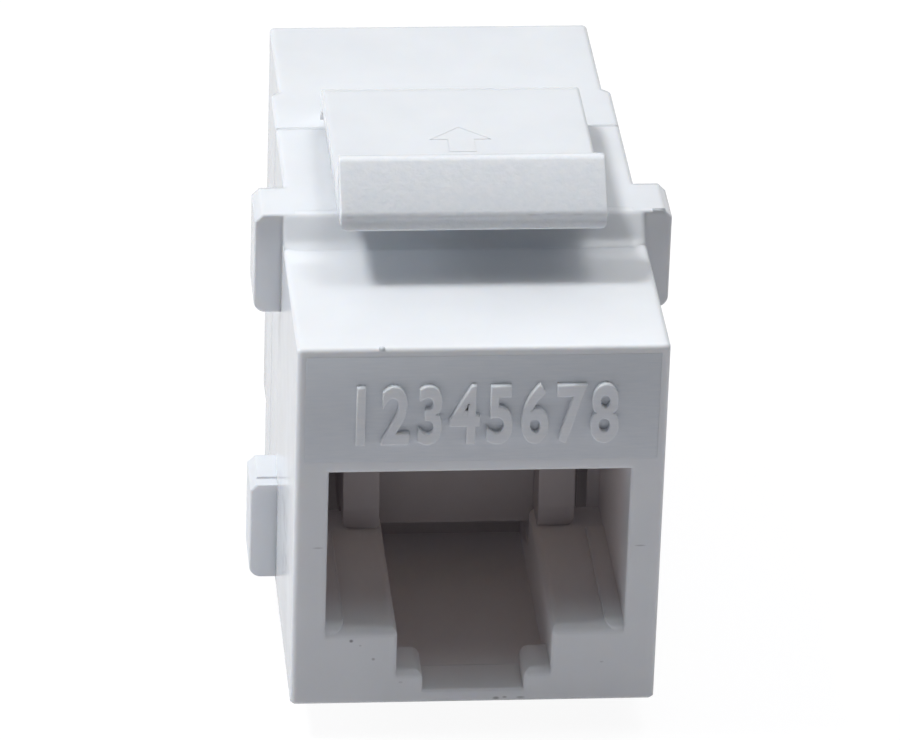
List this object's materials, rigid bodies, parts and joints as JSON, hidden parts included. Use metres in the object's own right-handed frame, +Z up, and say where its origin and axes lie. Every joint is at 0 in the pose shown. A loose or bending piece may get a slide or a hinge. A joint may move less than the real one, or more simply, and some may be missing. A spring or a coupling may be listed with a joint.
{
  "type": "keystone coupler",
  "caption": "Snap-in modular jack coupler with back-to-back sockets, stop ears, a fixed lug and a sprung latch that holds it in a panel's keystone port.",
  "frame": {"origin": "centre of the port block's front face", "axes": "+X to the right seen from the front, +Y from the front socket to the rear one, +Z up with the latch on top"},
  "size_m": [0.017, 0.028, 0.0225],
  "materials": {
    "housing": "satin white moulding",
    "carrier": "plain moulding",
    "board": "solder resist",
    "contact": "gold plated strip"
  },
  "bodies": {
    "coupler": {"front_housing": "housing", "rear_housing": "housing", "front_contact_insert": "carrier", "rear_contact_insert": "carrier", "circuit_board": "board", "front_contact_1": "contact", "front_contact_2": "contact", "front_contact_3": "contact", "front_contact_4": "contact", "front_contact_5": "contact", "front_contact_6": "contact", "front_contact_7": "contact", "front_contact_8": "contact", "rear_contact_1": "contact", "rear_contact_2": "contact", "rear_contact_3": "contact", "rear_contact_4": "contact", "rear_contact_5": "contact", "rear_contact_6": "contact", "rear_contact_7": "contact", "rear_contact_8": "contact"},
    "latch": {"latch_tongue": "housing"}
  },
  "joints": [
    {"name": "latch_flex", "type": "hinge", "parent": "coupler", "child": "latch", "pos_m": [0, 0.0192, 0.00877], "axis": [1, 0, 0], "range_deg": [0, 6], "stiffness_Nm_per_rad": 0.4}
  ]
}
